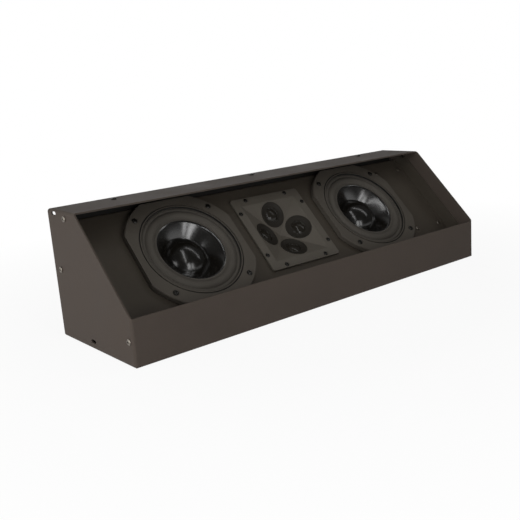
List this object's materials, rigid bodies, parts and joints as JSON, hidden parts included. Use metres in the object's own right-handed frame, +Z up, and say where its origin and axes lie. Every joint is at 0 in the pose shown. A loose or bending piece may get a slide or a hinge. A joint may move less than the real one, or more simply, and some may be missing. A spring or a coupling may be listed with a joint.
{
  "type": "loudspeaker",
  "caption": "Wedge-shaped loudspeaker in a folded steel case, with large woofers on a sunk sloping baffle beside a concave square tweeter module",
  "frame": {"origin": "middle of the base's lowest face, under the centre of the bounding box", "axes": "X along the cabinet, right seen from the front; -Y the front; Z up from the base"},
  "size_m": [0.7666, 0.22, 0.2058],
  "materials": {
    "shell_paint": "textured dark grey-brown powder coat on the folded shell",
    "baffle_paint": "fine satin near-black powder coat on the folded baffle",
    "panel_paint": "textured powder coat on the back panel",
    "rail_steel": "thin black coat on the folded rail",
    "screw_black": "blackened screw heads",
    "screw_steel": "zinc plated screws, nuts and spacers",
    "tray_steel": "plain zinc plated sheet",
    "board_green": "solder resist on a glass fibre board",
    "bobbin_black": "moulded nylon bobbins",
    "copper_wire": "enamelled copper wire, lacquered",
    "capacitor_film": "wrapped film capacitor bodies",
    "resistor_body": "cement filled resistor bodies",
    "damping_fibre": "grey fibre damping mat",
    "dish_black": "moulded terminal dish",
    "post_gold": "plated terminal posts",
    "cap_plastic": "moulded terminal caps",
    "basket_cast": "cast frame with a dark textured coat",
    "module_plastic": "moulded tweeter module with a fine grain",
    "gasket_foam": "closed cell foam gaskets",
    "surround_rubber": "satin black rubber half roll",
    "cone_black": "glossy black cone and dust cap",
    "spider_cloth": "resin treated corrugated cloth",
    "plate_steel": "turned steel plates and pole",
    "magnet_ferrite": "sintered ferrite ring",
    "ring_black": "glossy black tweeter rings",
    "dome_black": "coated black dome",
    "motor_steel": "steel cup behind each dome"
  },
  "bodies": {
    "cabinet": {"outer_shell": "shell_paint", "baffle_panel": "baffle_paint", "back_panel": "panel_paint", "top_rail": "rail_steel", "top_screws": "screw_black", "case_screws": "screw_steel", "back_screws": "screw_black", "woofer_screws": "screw_black", "module_screws": "screw_black", "crossover_screws": "screw_steel", "clinch_nuts": "screw_steel", "crossover_spacers": "screw_steel", "crossover_tray": "tray_steel", "crossover_board": "board_green", "crossover_bobbins": "bobbin_black", "crossover_windings": "copper_wire", "crossover_capacitors": "capacitor_film", "crossover_resistors": "resistor_body", "damping_mat": "damping_fibre", "terminal_dish": "dish_black", "terminal_posts": "post_gold", "terminal_caps": "cap_plastic", "tweeter_module": "module_plastic", "module_gasket": "gasket_foam", "left_woofer_basket": "basket_cast", "left_woofer_gasket": "gasket_foam", "left_woofer_surround": "surround_rubber", "left_woofer_spider": "spider_cloth", "left_woofer_top_plate": "plate_steel", "left_woofer_magnet": "magnet_ferrite", "left_woofer_pole_plate": "plate_steel", "right_woofer_basket": "basket_cast", "right_woofer_gasket": "gasket_foam", "right_woofer_surround": "surround_rubber", "right_woofer_spider": "spider_cloth", "right_woofer_top_plate": "plate_steel", "right_woofer_magnet": "magnet_ferrite", "right_woofer_pole_plate": "plate_steel", "upper_tweeter_ring": "ring_black", "upper_tweeter_dome": "dome_black", "upper_tweeter_motor": "motor_steel", "right_tweeter_ring": "ring_black", "right_tweeter_dome": "dome_black", "right_tweeter_motor": "motor_steel", "lower_tweeter_ring": "ring_black", "lower_tweeter_dome": "dome_black", "lower_tweeter_motor": "motor_steel", "left_tweeter_ring": "ring_black", "left_tweeter_dome": "dome_black", "left_tweeter_motor": "motor_steel"},
    "left_cone_unit": {"left_woofer_cone": "cone_black", "left_woofer_dust_cap": "cone_black", "left_woofer_voice_coil": "copper_wire"},
    "right_cone_unit": {"right_woofer_cone": "cone_black", "right_woofer_dust_cap": "cone_black", "right_woofer_voice_coil": "copper_wire"}
  },
  "joints": [
    {"name": "left_cone_travel", "type": "slide", "parent": "cabinet", "child": "left_cone_unit", "axis": [0, -0.7071, 0.7071], "range_m": [-0.006, 0.006], "stiffness_N_per_m": 2000, "deforming": ["left_woofer_surround", "left_woofer_spider"]},
    {"name": "right_cone_travel", "type": "slide", "parent": "cabinet", "child": "right_cone_unit", "axis": [0, -0.7071, 0.7071], "range_m": [-0.006, 0.006], "stiffness_N_per_m": 2000, "deforming": ["right_woofer_surround", "right_woofer_spider"]}
  ]
}
